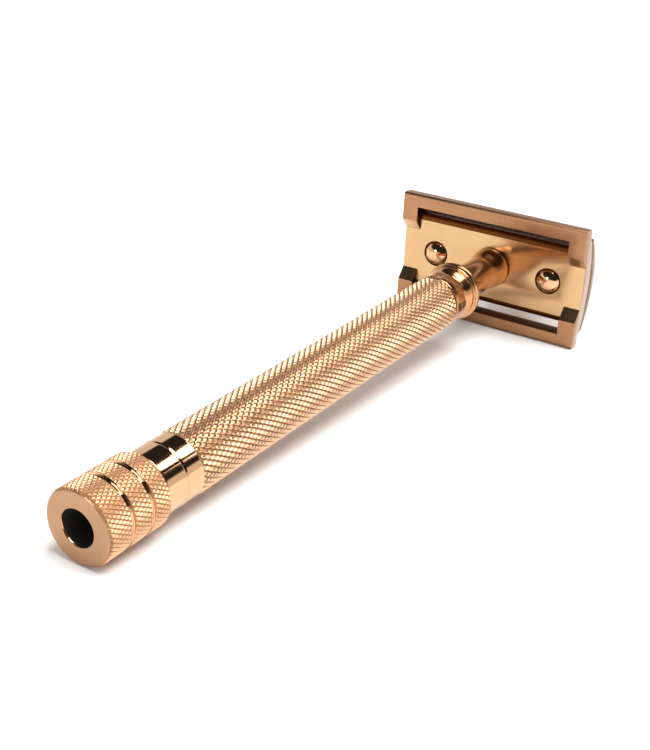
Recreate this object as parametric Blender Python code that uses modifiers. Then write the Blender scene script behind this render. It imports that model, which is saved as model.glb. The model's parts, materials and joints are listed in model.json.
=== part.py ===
"""Safety razor: a three-piece double-edge head screwed onto a long knurled handle, lying on its side.

Every piece is modelled in one razor frame and hangs from the empty "razor_axis":
  +X  along the handle, from the end knob's face towards the cap
  +Y  along the safety bars
  +Z  across the head
The empty then tilts the razor until the knob and the lower safety bar both touch the ground.
"""

import math

import bmesh
import bpy
from mathutils import Matrix

# Driving dimensions in metres. Stations are distances along the handle from the knob's end face.
SEAM_GAP = 0.0003
ROUND_STEPS = 32
TURNED_EDGE = 0.0003
FINE_EDGE = 0.0002

KNOB_RADIUS = 0.00588
KNOB_LENGTH = 0.01274
KNOB_EDGE = 0.0007
KNOB_GROOVE_STATIONS = (0.00476, 0.0088)
KNOB_GROOVE_WIDTH = 0.0009
KNOB_GROOVE_DEPTH = 0.0004
KNOB_GROOVE_FLOOR_SHARE = 0.6
BORE_RADIUS = 0.00278
BORE_END = 0.030
SPIGOT_RADIUS = 0.0037
SPIGOT_START = 0.0092

BAND_RADIUS = 0.00528
BAND_END = 0.0204
GRIP_RADIUS = 0.00524
GRIP_END = 0.0996
FERRULE_SPIGOT_RADIUS = 0.0030
FERRULE_SPIGOT_LENGTH = 0.0055

SHOULDER_LENGTH = 0.0009
WAIST_RADIUS = 0.0047
WAIST_STATION = 0.1034
COLLAR_RADIUS = 0.00585
COLLAR_STATION = 0.1079
# How far each corner of the collar's two ridges lies below its radius, and past its station.
COLLAR_RIDGES = (
    (0.0006, 0.0011),
    (0.0002, 0.0008),
    (0.0002, 0.0005),
    (0.0003, 0.0004),
    (0.0, 0.0002),
    (0.0, -0.0003),
    (0.0002, -0.0006),
)
COLLAR_REACH = 0.0022
COLLAR_FILLET = 0.0004
NECK_RADIUS = 0.00355
FOOT_RADIUS = 0.0042
FOOT_LENGTH = 0.0006
FOOT_FILLET_LENGTH = 0.0012
NECK_END = 0.0020

PLATE_STATION = 0.1252
GUARD_HALF_LENGTH = 0.02075
GUARD_HALF_WIDTH = 0.01285
BAR_INNER = 0.0101
BAR_BELOW_PLATE = 0.0020
BAR_TOP = 0.0009
BAR_EDGE = 0.0010
BAR_TOP_EDGE = 0.0007
BAR_INNER_EDGE = 0.0003
LEG_TOE = 0.0045
LEG_HEEL = 0.0069
SLOT_HALF_LENGTH = 0.0173
PLATE_FLAT = 0.0066
PLATE_MARGIN = 0.0083
PLATE_MARGIN_RISE = 0.0010

BEND_RADIUS = 0.0283
PLATE_CREST = 0.0033
BLADE_THICKNESS = 0.0001
BLADE_GAP = 0.0002
BLADE_HALF_LENGTH = 0.0205
BLADE_HALF_WIDTH = 0.0110
BLADE_NOTCH_LENGTH = 0.0022
BLADE_NOTCH_WIDTH = 0.0042
BLADE_SLOT_HALF_LENGTH = 0.0165
BLADE_SLOT_HALF_WIDTH = 0.0011
BLADE_SLOT_SAMPLES = 66
BLADE_BEVEL = 0.00002

CAP_HALF_LENGTH = 0.0207
CAP_HALF_WIDTH = 0.01025
CAP_CREST = 0.0064
CAP_LIP = 0.0010
CAP_RECESS_HALF_WIDTH = 0.0045
CAP_RECESS_DEPTH = 0.0005
CAP_EDGE = 0.00045
CAP_EDGE_SEGMENTS = 3

POST_RADIUS = 0.0024
POST_REACH = 0.0092
POST_TIP = 0.0006
POST_BORE_CLEARANCE = 0.0010
POST_HOLE = 0.0027
STUD_RADIUS = 0.0025
STUD_STATION = 0.01306
STUD_REACH = 0.0014
STUD_HOLE = 0.0028

CUTTER_CLEARANCE = 0.0020
CUTTER_DEPTH = 0.030
MERGE_DISTANCE = 0.000001
FLAT_ANGLE = math.radians(0.4)

# The arcs of plate, blade and cap share one centre, this far below the plate's flat underside.
BEND_CENTRE = PLATE_CREST - BEND_RADIUS
BLADE_RADIUS = BEND_RADIUS + BLADE_GAP
CAP_INNER_RADIUS = BLADE_RADIUS + BLADE_THICKNESS + BLADE_GAP
TILT = math.atan2(
    GUARD_HALF_WIDTH - KNOB_RADIUS,
    PLATE_STATION - BAR_BELOW_PLATE + BAR_EDGE - KNOB_EDGE,
)

KNURLED_GOLD = (0.72, 0.46, 0.29)
POLISHED_GOLD = (0.80, 0.50, 0.32)
SATIN_GOLD = (0.52, 0.30, 0.18)
PLATE_GOLD = (0.70, 0.47, 0.25)
STEEL = (0.62, 0.60, 0.58)


def clear_scene():
    """Start from an empty scene."""
    for obj in list(bpy.data.objects):
        bpy.data.objects.remove(obj, do_unlink=True)


def new_collection(name):
    """Make a collection linked to the scene."""
    collection = bpy.data.collections.new(name)
    bpy.context.scene.collection.children.link(collection)
    return collection


def metal(name, colour, roughness):
    """Make a metal with one colour and one roughness."""
    material = bpy.data.materials.new(name)
    material.use_nodes = True
    shader = material.node_tree.nodes["Principled BSDF"]
    shader.inputs["Base Color"].default_value = (*colour, 1.0)
    shader.inputs["Metallic"].default_value = 1.0
    shader.inputs["Roughness"].default_value = roughness
    return material


def arc(centre, radius, start, end, count):
    """Points on a circle from one angle to another, in degrees, both ends included."""
    points = []
    for index in range(count + 1):
        angle = math.radians(start + (end - start) * index / count)
        points.append((centre[0] + radius * math.cos(angle), centre[1] + radius * math.sin(angle)))
    return points


def bend_arc(radius, from_width, to_width, count):
    """Points (height above the plate, width) on an arc about the shared bend centre."""
    start = math.asin(from_width / radius)
    end = math.asin(to_width / radius)
    points = []
    for index in range(count + 1):
        angle = start + (end - start) * index / count
        points.append((BEND_CENTRE + radius * math.cos(angle), radius * math.sin(angle)))
    return points


def crown_arc(edge_height, half_width, crest, count):
    """Points (height, width) from +half_width over the crest to -half_width."""
    sagitta = crest - edge_height
    radius = (half_width**2 + sagitta**2) / (2 * sagitta)
    half_angle = math.asin(half_width / radius)
    points = []
    for index in range(count + 1):
        angle = half_angle * (1 - 2 * index / count)
        points.append((crest - radius + radius * math.cos(angle), radius * math.sin(angle)))
    return points


def mirrored(half):
    """Complete an outline from the half that runs from width 0 below to width 0 above."""
    return half + [(height, -width) for height, width in reversed(half)]


def link(obj, collection, rig, material=None):
    """Put an object in its collection, hang it from the razor's axis and give it its metal."""
    collection.objects.link(obj)
    obj.parent = rig
    if material is not None:
        obj.data.materials.append(material)
    return obj


def turned(name, profile, collection, rig, material):
    """Turn a closed profile of (radius, station) points about the handle's axis."""
    mesh = bpy.data.meshes.new(name)
    points = [(radius, 0.0, station) for radius, station in profile]
    count = len(points)
    closed = profile[0][0] > 0
    edges = [(index, index + 1) for index in range(count - 1)]
    if closed:
        edges.append((count - 1, 0))
    mesh.from_pydata(points, edges, [])
    obj = link(bpy.data.objects.new(name, mesh), collection, rig, material)
    obj.rotation_euler = (0, math.pi / 2, 0)
    screw = obj.modifiers.new("turn", "SCREW")
    screw.axis = "Z"
    screw.steps = ROUND_STEPS
    screw.render_steps = ROUND_STEPS
    screw.use_merge_vertices = True
    screw.merge_threshold = MERGE_DISTANCE
    screw.use_smooth_shade = True
    return obj


def extruded(name, outline, half_length, collection, rig, material=None):
    """Extrude an outline of (station, width) points along the bars, as a mesh."""
    curve = bpy.data.curves.new(name, "CURVE")
    curve.dimensions = "2D"
    curve.fill_mode = "BOTH"
    curve.extrude = half_length
    spline = curve.splines.new("POLY")
    spline.points.add(len(outline) - 1)
    for point, (station, width) in zip(spline.points, outline):
        point.co = (station, width, 0, 1)
    spline.use_cyclic_u = True
    drawn = bpy.data.objects.new(name + "_outline", curve)
    collection.objects.link(drawn)
    bpy.context.view_layer.update()
    mesh = bpy.data.meshes.new_from_object(drawn.evaluated_get(bpy.context.evaluated_depsgraph_get()))
    bpy.data.objects.remove(drawn, do_unlink=True)
    shape = bmesh.new()
    shape.from_mesh(mesh)
    bmesh.ops.remove_doubles(shape, verts=shape.verts, dist=MERGE_DISTANCE)
    bmesh.ops.dissolve_limit(shape, angle_limit=FLAT_ANGLE, verts=shape.verts, edges=shape.edges)
    bmesh.ops.recalc_face_normals(shape, faces=shape.faces)
    shape.to_mesh(mesh)
    shape.free()
    mesh.name = name
    mesh.materials.clear()
    obj = link(bpy.data.objects.new(name, mesh), collection, rig, material)
    obj.rotation_euler = (math.pi / 2, 0, 0)
    return obj


def make_cutter(obj):
    """Show an object as a wire and keep it out of the finished razor."""
    obj.hide_render = True
    obj.display_type = "WIRE"
    return obj


def round_cutter(name, radius, along_bars, collection, rig):
    """A cylinder across the plate, parallel to the handle, at a place along the bars."""
    bpy.ops.mesh.primitive_cylinder_add(vertices=ROUND_STEPS, radius=radius, depth=CUTTER_DEPTH)
    obj = bpy.context.object
    obj.name = name
    for owner in list(obj.users_collection):
        owner.objects.unlink(obj)
    link(obj, collection, rig)
    obj.location = (PLATE_STATION, along_bars, 0)
    obj.rotation_euler = (0, math.pi / 2, 0)
    return make_cutter(obj)


def cut(obj, cutter):
    """Cut one mesh out of another."""
    boolean = obj.modifiers.new(cutter.name, "BOOLEAN")
    boolean.operation = "DIFFERENCE"
    boolean.solver = "EXACT"
    boolean.object = cutter


def round_edges(obj, width, segments, angle=35):
    """Round every edge sharper than an angle."""
    bevel = obj.modifiers.new("edges", "BEVEL")
    bevel.width = width
    bevel.segments = segments
    bevel.limit_method = "ANGLE"
    bevel.angle_limit = math.radians(angle)
    bevel.use_clamp_overlap = True


def make_end_knob(collection, rig, material):
    """The hollow end piece: a rounded rim, two turned grooves and a seat for the handle's spigot."""
    top = KNOB_LENGTH - SEAM_GAP
    profile = [(KNOB_RADIUS - TURNED_EDGE, top), (KNOB_RADIUS, top - TURNED_EDGE)]
    half = KNOB_GROOVE_WIDTH / 2
    floor_half = half * KNOB_GROOVE_FLOOR_SHARE
    floor = KNOB_RADIUS - KNOB_GROOVE_DEPTH
    for station in reversed(KNOB_GROOVE_STATIONS):
        profile += [(KNOB_RADIUS, station + half), (floor, station + floor_half)]
        profile += [(floor, station - floor_half), (KNOB_RADIUS, station - half)]
    profile += arc((KNOB_RADIUS - KNOB_EDGE, KNOB_EDGE), KNOB_EDGE, 0, -90, 4)
    profile += [(BORE_RADIUS + TURNED_EDGE, 0), (BORE_RADIUS, TURNED_EDGE)]
    seat = SPIGOT_START - SEAM_GAP
    profile += [(BORE_RADIUS, seat), (SPIGOT_RADIUS + SEAM_GAP, seat), (SPIGOT_RADIUS + SEAM_GAP, top)]
    return turned("end_knob", profile, collection, rig, material)


def make_handle_tube(collection, rig, material):
    """The long grip with its smooth band, a hollow spigot for the knob and a socket for the ferrule."""
    top = GRIP_END - SEAM_GAP
    socket = FERRULE_SPIGOT_RADIUS + SEAM_GAP
    socket_floor = GRIP_END - FERRULE_SPIGOT_LENGTH - SEAM_GAP
    profile = [(0, socket_floor), (socket, socket_floor), (socket, top)]
    profile += [(GRIP_RADIUS - TURNED_EDGE, top), (GRIP_RADIUS, top - TURNED_EDGE)]
    profile += [(GRIP_RADIUS, BAND_END + FINE_EDGE), (GRIP_RADIUS - FINE_EDGE, BAND_END)]
    profile += [(BAND_RADIUS, BAND_END - TURNED_EDGE), (BAND_RADIUS, KNOB_LENGTH + FINE_EDGE)]
    profile += [(BAND_RADIUS - FINE_EDGE, KNOB_LENGTH), (SPIGOT_RADIUS, KNOB_LENGTH)]
    profile += [(SPIGOT_RADIUS, SPIGOT_START), (BORE_RADIUS, SPIGOT_START)]
    profile += [(BORE_RADIUS, BORE_END), (0, BORE_END)]
    return turned("handle_tube", profile, collection, rig, material)


def make_neck_ferrule(collection, rig, material):
    """The waist, the flared collar with two rounded ridges, and the neck up to the base plate."""
    top = PLATE_STATION - SEAM_GAP
    bore_floor = PLATE_STATION - POST_REACH - POST_BORE_CLEARANCE
    outer = [(POST_HOLE, top), (FOOT_RADIUS - FINE_EDGE, top), (FOOT_RADIUS, top - FINE_EDGE)]
    outer += [(FOOT_RADIUS, top - FOOT_LENGTH), (NECK_RADIUS + FINE_EDGE, top - FOOT_FILLET_LENGTH)]
    outer += [(NECK_RADIUS, top - NECK_END), (NECK_RADIUS, COLLAR_STATION + COLLAR_REACH)]
    fillet_station = COLLAR_STATION + COLLAR_REACH - 2 * COLLAR_FILLET
    outer.append((NECK_RADIUS + COLLAR_FILLET, fillet_station))
    outer += [(COLLAR_RADIUS - below, COLLAR_STATION + past) for below, past in COLLAR_RIDGES]
    flare_radius, flare_station = outer[-1]
    for step in (0.66, 0.33, 0.0):
        radius = WAIST_RADIUS + (flare_radius - WAIST_RADIUS) * step**2
        outer.append((radius, WAIST_STATION + (flare_station - WAIST_STATION) * step))
    shoulder = GRIP_END + SHOULDER_LENGTH
    for step in (0.5, 1.0):
        blend = 0.5 - 0.5 * math.cos(math.pi * step)
        radius = WAIST_RADIUS + (GRIP_RADIUS - WAIST_RADIUS) * blend
        outer.append((radius, WAIST_STATION + (shoulder - WAIST_STATION) * step))
    outer += [(GRIP_RADIUS, GRIP_END + FINE_EDGE), (GRIP_RADIUS - FINE_EDGE, GRIP_END)]
    spigot_end = GRIP_END - FERRULE_SPIGOT_LENGTH
    outer += [(FERRULE_SPIGOT_RADIUS, GRIP_END), (FERRULE_SPIGOT_RADIUS, spigot_end), (0, spigot_end)]
    profile = [(0, bore_floor), (POST_HOLE, bore_floor)] + outer
    return turned("neck_ferrule", profile, collection, rig, material)


def guard_outline():
    """The base plate's section through its ends: flat underside, sloping legs, bars, arched top."""
    half = [(0, 0), (0, LEG_TOE), (-BAR_BELOW_PLATE, LEG_HEEL)]
    low_edge = (-BAR_BELOW_PLATE + BAR_EDGE, GUARD_HALF_WIDTH - BAR_EDGE)
    high_edge = (BAR_TOP - BAR_TOP_EDGE, GUARD_HALF_WIDTH - BAR_TOP_EDGE)
    half += arc(low_edge, BAR_EDGE, 180, 90, 5)
    half += arc(high_edge, BAR_TOP_EDGE, 90, 0, 4)
    half += [(BAR_TOP, BAR_INNER + BAR_INNER_EDGE)]
    half += bend_arc(BEND_RADIUS, BAR_INNER, 0, 12)
    full = mirrored(half[1:-1])
    crest = (PLATE_CREST, 0)
    middle = len(half) - 2
    return [(PLATE_STATION + h, w) for h, w in full[:middle] + [crest] + full[middle:]]


def slot_outline():
    """The space between the bars: below the plate, round its rolled margins and up through both slots."""
    below = -BAR_BELOW_PLATE - CUTTER_CLEARANCE
    above = PLATE_CREST + CUTTER_CLEARANCE
    half = [(below, BAR_INNER), (above, BAR_INNER), (above, PLATE_MARGIN)]
    for index in range(6):
        angle = math.radians(90 * index / 5)
        width = PLATE_FLAT + (PLATE_MARGIN - PLATE_FLAT) * math.cos(angle)
        half.append((PLATE_MARGIN_RISE * (1 - math.sin(angle)), width))
    return [(PLATE_STATION + h, w) for h, w in half + [(h, -w) for h, w in reversed(half)]]


def make_base_plate(parts, cutters, rig, material):
    """The guard: polished plate, two safety bars on four sloping corner legs, holes for post and studs."""
    plate = extruded("base_plate", guard_outline(), GUARD_HALF_LENGTH, parts, rig, material)
    slots = extruded("slot_cutter", slot_outline(), SLOT_HALF_LENGTH, cutters, rig)
    cut(plate, make_cutter(slots))
    cut(plate, round_cutter("post_cutter", POST_HOLE, 0, cutters, rig))
    for side, name in ((1, "left"), (-1, "right")):
        cut(plate, round_cutter("stud_cutter_" + name, STUD_HOLE, side * STUD_STATION, cutters, rig))
    return plate


def make_blade(parts, cutters, rig, material):
    """The thin double-edge blade, bent over the plate, with a centre slot and four corner notches."""
    edge = BLADE_RADIUS * math.sin(BLADE_HALF_WIDTH / BLADE_RADIUS)
    outer_edge = edge - BLADE_BEVEL
    under = bend_arc(BLADE_RADIUS, edge, -edge, 22)
    over = bend_arc(BLADE_RADIUS + BLADE_THICKNESS, -outer_edge, outer_edge, 22)
    outline = [(PLATE_STATION + h, w) for h, w in under + over]
    blade = extruded("blade", outline, BLADE_HALF_LENGTH, parts, rig, material)
    slot = slot_cutter_for_blade(cutters, rig)
    cut(blade, slot)
    for end in (1, -1):
        for side in (1, -1):
            bpy.ops.mesh.primitive_cube_add(size=1)
            notch = bpy.context.object
            notch.name = f"notch_cutter_{'a' if end > 0 else 'b'}_{'up' if side > 0 else 'down'}"
            size = (CUTTER_DEPTH, 2 * BLADE_NOTCH_LENGTH, 2 * BLADE_NOTCH_WIDTH)
            notch.data.transform(Matrix.Diagonal((*size, 1.0)))
            for owner in list(notch.users_collection):
                owner.objects.unlink(notch)
            link(notch, cutters, rig)
            notch.location = (PLATE_STATION, end * BLADE_HALF_LENGTH, side * BLADE_HALF_WIDTH)
            cut(blade, make_cutter(notch))
    return blade


def slot_cutter_for_blade(cutters, rig):
    """The blade's centre slot, widened round the post and both studs, as one flat shape."""
    widths = []
    for index in range(BLADE_SLOT_SAMPLES + 1):
        along = BLADE_SLOT_HALF_LENGTH * (2 * index / BLADE_SLOT_SAMPLES - 1)
        width = BLADE_SLOT_HALF_WIDTH
        for place in (-STUD_STATION, 0.0, STUD_STATION):
            reach = STUD_HOLE**2 - (along - place) ** 2
            if reach > 0:
                width = max(width, math.sqrt(reach))
        widths.append((along, width))
    outline = widths + [(along, -width) for along, width in reversed(widths)]
    slot = extruded("blade_slot_cutter", outline, CUTTER_DEPTH / 2, cutters, rig)
    slot.rotation_euler = (math.pi / 2, 0, math.pi / 2)
    slot.location = (PLATE_STATION, 0, 0)
    return make_cutter(slot)


def make_top_cap(parts, rig, material):
    """The arched cap: hollow below over the blade, crowned above, with rounded lips and ends."""
    outer = bend_arc(CAP_INNER_RADIUS, CAP_HALF_WIDTH, CAP_RECESS_HALF_WIDTH, 6)
    shoulder = outer[-1][0]
    recess_crest = BEND_CENTRE + CAP_INNER_RADIUS + CAP_RECESS_DEPTH
    recess = crown_arc(shoulder, CAP_RECESS_HALF_WIDTH, recess_crest, 8)
    under = outer[:-1] + recess + [(h, -w) for h, w in reversed(outer[:-1])]
    lip = under[0][0] + CAP_LIP
    over = crown_arc(lip, CAP_HALF_WIDTH, CAP_CREST, 24)
    outline = [(PLATE_STATION + h, w) for h, w in under + list(reversed(over))]
    cap = extruded("top_cap", outline, CAP_HALF_LENGTH, parts, rig, material)
    round_edges(cap, CAP_EDGE, CAP_EDGE_SEGMENTS)
    return cap


def make_threaded_post(collection, rig, material):
    """The cap's centre post, which the neck screws onto."""
    top = PLATE_STATION + BEND_CENTRE + CAP_INNER_RADIUS + CAP_RECESS_DEPTH - SEAM_GAP
    end = PLATE_STATION - POST_REACH
    profile = [(0, top), (POST_RADIUS, top), (POST_RADIUS, end + POST_TIP)]
    profile += [(POST_RADIUS - POST_TIP, end), (0, end)]
    return turned("threaded_post", profile, collection, rig, material)


def make_studs(collection, rig, material):
    """The cap's two round pins that locate blade and base plate, with domed ends below the plate."""
    top = PLATE_STATION + BEND_CENTRE + CAP_INNER_RADIUS + CAP_RECESS_DEPTH - SEAM_GAP
    end = PLATE_STATION - STUD_REACH
    dome_radius = (STUD_RADIUS**2 + STUD_REACH**2) / (2 * STUD_REACH)
    half_angle = math.degrees(math.asin(STUD_RADIUS / dome_radius))
    dome = arc((0, end + dome_radius), dome_radius, -90 + half_angle, -90, 6)
    dome[-1] = (0, end)
    studs = []
    for side, name in ((1, "left"), (-1, "right")):
        profile = [(0, top), (STUD_RADIUS, top)] + dome
        stud = turned("alignment_stud_" + name, profile, collection, rig, material)
        stud.location = (0, side * STUD_STATION, 0)
        studs.append(stud)
    return studs


def stand_on_ground(rig, collection):
    """Tilt the razor onto its knob and lower bar, with the origin below the middle of its box."""
    rig.rotation_euler = (0, -TILT, 0)
    bpy.context.view_layer.update()
    depsgraph = bpy.context.evaluated_depsgraph_get()
    points = []
    for obj in collection.objects:
        if obj.type == "MESH":
            shape = obj.evaluated_get(depsgraph)
            points += [shape.matrix_world @ vertex.co for vertex in shape.data.vertices]
    low = [min(point[axis] for point in points) for axis in range(3)]
    high = [max(point[axis] for point in points) for axis in range(3)]
    rig.location = (-(low[0] + high[0]) / 2, -(low[1] + high[1]) / 2, -low[2])
    bpy.context.view_layer.update()


def main():
    clear_scene()
    parts = new_collection("safety_razor")
    cutters = new_collection("cutters")
    rig = bpy.data.objects.new("razor_axis", None)
    parts.objects.link(rig)
    knurled = metal("knurled_rose_gold", KNURLED_GOLD, 0.30)
    polished = metal("polished_rose_gold", POLISHED_GOLD, 0.08)
    satin = metal("satin_rose_gold", SATIN_GOLD, 0.35)
    plate_gold = metal("plate_gold", PLATE_GOLD, 0.15)
    steel = metal("blade_steel", STEEL, 0.25)
    make_end_knob(parts, rig, knurled)
    make_handle_tube(parts, rig, knurled)
    make_neck_ferrule(parts, rig, polished)
    make_base_plate(parts, cutters, rig, plate_gold)
    make_blade(parts, cutters, rig, steel)
    make_top_cap(parts, rig, satin)
    make_threaded_post(parts, rig, polished)
    make_studs(parts, rig, polished)
    stand_on_ground(rig, parts)


main()
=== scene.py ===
# %% [markdown]
# # A safety razor lying on a white table
#
# A razor like this is a handful of metal pieces, turned, knurled or stamped and then plated in
# rose gold: a hollow end knob, a long knurled grip, a flared collar with a slim neck, and a head
# made of a base plate, a thin steel blade and an arched cap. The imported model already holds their
# sizes and the way they move. This file gives each of them its fine shape and its finish.

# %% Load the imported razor
import json
import math

import bmesh
import bpy
import numpy as np
from mathutils import Matrix, Vector


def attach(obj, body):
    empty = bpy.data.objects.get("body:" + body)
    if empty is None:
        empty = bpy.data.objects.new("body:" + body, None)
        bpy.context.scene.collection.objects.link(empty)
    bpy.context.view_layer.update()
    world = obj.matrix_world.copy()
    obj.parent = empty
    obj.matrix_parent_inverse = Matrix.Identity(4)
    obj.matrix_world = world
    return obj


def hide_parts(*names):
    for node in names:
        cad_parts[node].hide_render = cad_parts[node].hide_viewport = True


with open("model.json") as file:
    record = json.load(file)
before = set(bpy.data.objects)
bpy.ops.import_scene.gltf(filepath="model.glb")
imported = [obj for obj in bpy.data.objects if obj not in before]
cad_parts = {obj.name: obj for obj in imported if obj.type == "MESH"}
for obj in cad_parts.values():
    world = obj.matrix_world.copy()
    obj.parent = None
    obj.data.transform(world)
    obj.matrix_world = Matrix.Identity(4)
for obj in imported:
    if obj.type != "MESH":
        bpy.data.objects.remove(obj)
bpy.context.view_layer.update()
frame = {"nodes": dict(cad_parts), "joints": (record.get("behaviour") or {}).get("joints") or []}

# %% [markdown]
# ## The razor's own axes
#
# The razor lies a little nose-up, because its head is wider than its knob. Shaping tilted pieces
# is awkward, so every piece is shaped in the razor's own frame instead: X runs along the handle
# from the end knob to the cap, Y along the bars and Z across the head. The joint that lets the
# head turn holds the handle's axis, so the frame is read from there and never typed in.

# %% Work out the razor's frame
MM = 0.001
turn = next(joint for joint in frame["joints"] if joint["name"] == "head_turn")
along = Vector(turn["axis"]).normalized()
beside = Vector((0, 1, 0))
across = along.cross(beside)
axes = Matrix((along, beside, across)).transposed().to_4x4()
razor = Matrix.Translation(turn["pos_m"]) @ axes


def extent(node):
    """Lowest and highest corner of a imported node, measured along the razor's own axes."""
    inverse = razor.inverted()
    points = [inverse @ vertex.co for vertex in frame["nodes"][node].data.vertices]
    low = Vector(min(point[axis] for point in points) for axis in range(3))
    high = Vector(max(point[axis] for point in points) for axis in range(3))
    return low, high


knob_low, knob_high = extent("end_knob")
tube_low, tube_high = extent("handle_tube")
ferrule_low, ferrule_high = extent("neck_ferrule")
plate_low, plate_high = extent("base_plate")
_, cap_high = extent("top_cap")
_, blade_high = extent("blade")
stud_low, stud_high = extent("alignment_stud_left")
post_low, post_high = extent("threaded_post")
print("tilt in degrees:", round(math.degrees(math.asin(along.z)), 2))
print("handle length in mm:", round(1000 * tube_high.x, 1))

# %% [markdown]
# ## Turned pieces
#
# Knob, grip, collar, neck, post and studs are all made on a lathe, so each is a profile spun
# round the handle's axis. A Screw modifier could do that, but two things are easier with rings of
# vertices laid down in code: a ring's radius may vary round the circle, which is how knurls and
# threads are cut, and every other ring may be shifted by half a step, which makes the mesh follow
# the diamonds of a knurl.

# %% Helpers for turned pieces
SUPPORT = 0.08 * MM
SHARP_ANGLE = math.radians(28)
MERGE_DISTANCE = 1e-8
ROUND_STEPS = 64
FINE_ROUND_STEPS = 128


def rounded(corners, steps=4):
    """Turn (radius, station, rounding) corners into a smooth path of (radius, station) points."""
    path = []
    count = len(corners)
    for index, (radius, station, rounding) in enumerate(corners):
        here = Vector((radius, station))
        if rounding == 0 or index in (0, count - 1):
            path.append(tuple(here))
            continue
        before = Vector(corners[index - 1][:2]) - here
        after = Vector(corners[index + 1][:2]) - here
        start = here + before.normalized() * min(rounding, before.length * 0.49)
        end = here + after.normalized() * min(rounding, after.length * 0.49)
        for step in range(steps + 1):
            t = step / steps
            path.append(tuple(start * (1 - t) ** 2 + here * 2 * t * (1 - t) + end * t**2))
    return path


def plain_rings(corners, steps=4):
    """Rings of even radius along a rounded path, with extra rings inside the ends of each run.

    The extra rings keep smooth shading from bulging the long straight runs.
    """
    path = [Vector(point) for point in rounded(corners, steps)]
    rings = [(path[0].y, path[0].x, 0)]
    for start, end in zip(path, path[1:]):
        run = end - start
        if run.length > 3 * SUPPORT:
            for place in (start + run.normalized() * SUPPORT, end - run.normalized() * SUPPORT):
                rings.append((place.y, place.x, 0))
        rings.append((end.y, end.x, 0))
    return rings


def skin(name, rings, columns, looped=False):
    """Join rings of (station, radius or radii, half step) into a body round the X axis."""
    points, firsts, faces = [], [], []
    for station, radii, half in rings:
        firsts.append(len(points))
        angles = 2 * math.pi * (np.arange(columns) + half / 2) / columns
        widths = np.broadcast_to(radii, columns)
        points += list(zip([station] * columns, widths * np.cos(angles), widths * np.sin(angles)))

    def at(ring, column):
        return firsts[ring] + column % columns

    count = len(rings)
    for ring in range(count - 1):
        here, there = rings[ring][2], rings[ring + 1][2]
        beyond = rings[ring + 2][2] if ring + 2 < count else 0
        before = rings[ring - 1][2] if ring else 0
        for k in range(columns):
            if here == there == 0:
                faces.append((at(ring, k), at(ring, k + 1), at(ring + 1, k + 1), at(ring + 1, k)))
            elif beyond == here and ring + 2 < count:
                left, right = (k - 1, k) if here == 0 else (k, k + 1)
                upper, lower = at(ring, k), at(ring + 2, k)
                faces.append((upper, at(ring + 1, right), lower, at(ring + 1, left)))
            if here == 0 and there == 1 and before == 0:
                faces.append((at(ring, k), at(ring, k + 1), at(ring + 1, k)))
            if here == 1 and there == 0 and beyond == 0:
                faces.append((at(ring + 1, k), at(ring, k), at(ring + 1, k + 1)))
    if looped:
        last = count - 1
        faces += [(at(last, k), at(last, k + 1), at(0, k + 1), at(0, k)) for k in range(columns)]
    else:
        for ring in (0, count - 1):
            points.append((rings[ring][0], 0, 0))
            faces += [(len(points) - 1, at(ring, k), at(ring, k + 1)) for k in range(columns)]
    return finished_mesh(name, points, faces)


def finished_mesh(name, points, faces):
    """Make a smooth-shaded object in the razor's frame, with all of its faces pointing out."""
    mesh = bpy.data.meshes.new(name)
    mesh.from_pydata([tuple(point) for point in points], [], faces)
    shape = bmesh.new()
    shape.from_mesh(mesh)
    bmesh.ops.remove_doubles(shape, verts=shape.verts, dist=MERGE_DISTANCE)
    bmesh.ops.recalc_face_normals(shape, faces=shape.faces)
    shape.to_mesh(mesh)
    shape.free()
    mesh.shade_smooth()
    mesh.set_sharp_from_angle(angle=SHARP_ANGLE)
    obj = bpy.data.objects.new(name, mesh)
    bpy.context.scene.collection.objects.link(obj)
    obj.matrix_world = razor
    return obj


# %% [markdown]
# ## Knurling
#
# A knurl is two sets of fine V grooves that wind round the handle in opposite directions and
# leave small four-sided diamonds between them. A bump texture would look flat at the edges of the
# handle, so the grooves are real here. Rings are spaced so that eight of them make one diamond
# and every second one is shifted by half a step: the edges of the mesh then run along the
# grooves.

# %% Cut a knurl
RINGS_PER_DIAMOND = 8
SHOULDER_HEIGHT = 0.86


def knurl(start, end, radius, starts, diamond, depth):
    """Rings of a diamond knurl: so many grooves round the bar, one diamond per length."""
    columns = starts * RINGS_PER_DIAMOND // 2
    spacing = diamond / RINGS_PER_DIAMOND
    count = 2 * round((end - start) / spacing / 2)
    spacing = (end - start) / count
    heights = np.array([0.0, SHOULDER_HEIGHT, 1.0, SHOULDER_HEIGHT])
    rings = []
    for index in range(count + 1):
        half = index % 2
        steps = 2 * np.arange(columns) + half
        rising = heights[((index + steps) // 2) % 4]
        falling = heights[((index - steps) // 2) % 4]
        height = np.minimum(rising, falling)
        if index in (0, count):
            height = np.full(columns, 0.5)
        station = start + index * spacing
        crest = radius(station) if callable(radius) else radius
        rings.append((station, crest - depth * (1 - height), half))
    return rings, columns
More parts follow.
